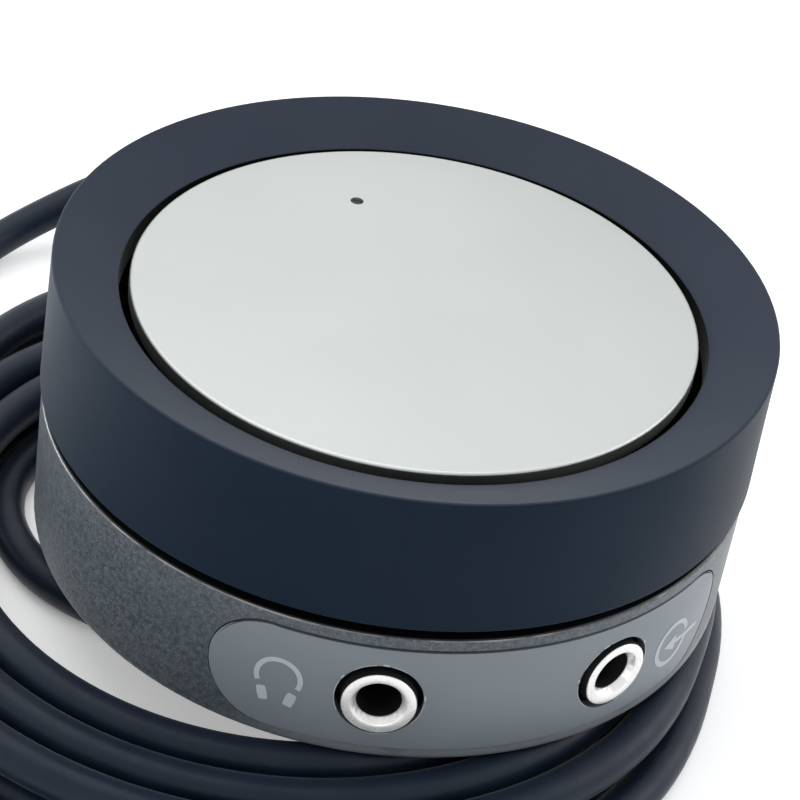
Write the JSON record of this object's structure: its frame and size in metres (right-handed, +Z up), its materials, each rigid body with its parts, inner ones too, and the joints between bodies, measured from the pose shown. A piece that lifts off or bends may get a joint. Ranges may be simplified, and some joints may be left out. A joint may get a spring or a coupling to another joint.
{
  "type": "volume control pod",
  "caption": "Round desktop volume pod: a turning ring geared to a potentiometer, a touch disc, a base with audio jacks, and a coiled cord with a round multi-pin plug.",
  "frame": {"origin": "centre of the pod's own box, without the cord: on the ring's axis, halfway between foot pad and ring top", "axes": "+Z up along the ring's axis, -Y out of the jack panel, +X towards the aux jack's side"},
  "size_m": [0.0886, 0.1096, 0.0339],
  "materials": {
    "graphite_paint": "fine-speckled dark grey metallic paint, satin",
    "panel_grey": "smooth satin grey",
    "pad_rubber": "matte",
    "plain_steel": "plain turned",
    "black_plastic": "fine moulded",
    "nickel": "bright nickel plate",
    "contact_brass": "gold flash",
    "board_green": "solder mask",
    "capacitor_sleeve": "shrink sleeve",
    "white_plastic": "natural moulded",
    "wire_insulation": "smooth",
    "pot_case": "moulded",
    "soft_touch": "soft-touch coat, very matte",
    "disc_aluminium": "fine bead-blasted, clear anodised",
    "clear_plastic": "clear moulded",
    "cord_jacket": "smooth satin jacket"
  },
  "bodies": {
    "base": {"base_shell": "graphite_paint", "jack_panel": "panel_grey", "foot_pad": "pad_rubber", "ballast_plate": "plain_steel", "headphone_jack": "black_plastic", "aux_jack": "black_plastic", "headphone_bushing": "nickel", "aux_bushing": "nickel", "headphone_contacts": "contact_brass", "aux_contacts": "contact_brass", "main_board": "board_green", "amplifier_chip": "black_plastic", "capacitors": "capacitor_sleeve", "wire_header": "white_plastic", "conductors": "wire_insulation", "pot_body": "pot_case", "slip_washer": "black_plastic", "disc_carrier": "black_plastic", "touch_board": "board_green", "touch_contact": "contact_brass", "touch_disc": "disc_aluminium", "status_led": "white_plastic", "light_pipe": "clear_plastic", "carrier_screws": "plain_steel", "strain_relief": "cord_jacket", "cord_lead": "cord_jacket", "cord_coil": "cord_jacket", "cord_tail": "cord_jacket", "plug_boot": "cord_jacket", "plug_body": "black_plastic", "plug_shell": "nickel", "plug_insert": "black_plastic", "plug_pins": "contact_brass"},
    "ring": {"volume_ring": "soft_touch", "gear_ring": "black_plastic"},
    "pot_rotor": {"pot_shaft": "plain_steel", "drive_pinion": "white_plastic"}
  },
  "joints": [
    {"name": "ring_turn", "type": "hinge", "parent": "base", "child": "ring", "pos_m": [0, 0, 0], "axis": [0, 0, 1], "range_deg": [-50, 50]},
    {"name": "pot_turn", "type": "hinge", "parent": "base", "child": "pot_rotor", "pos_m": [-0.01131, 0.01131, 0], "axis": [0, 0, 1], "range_deg": [-151, 151]}
  ],
  "couplings": [
    {"joint": "pot_turn", "follows": "ring_turn", "ratio": 3}
  ]
}
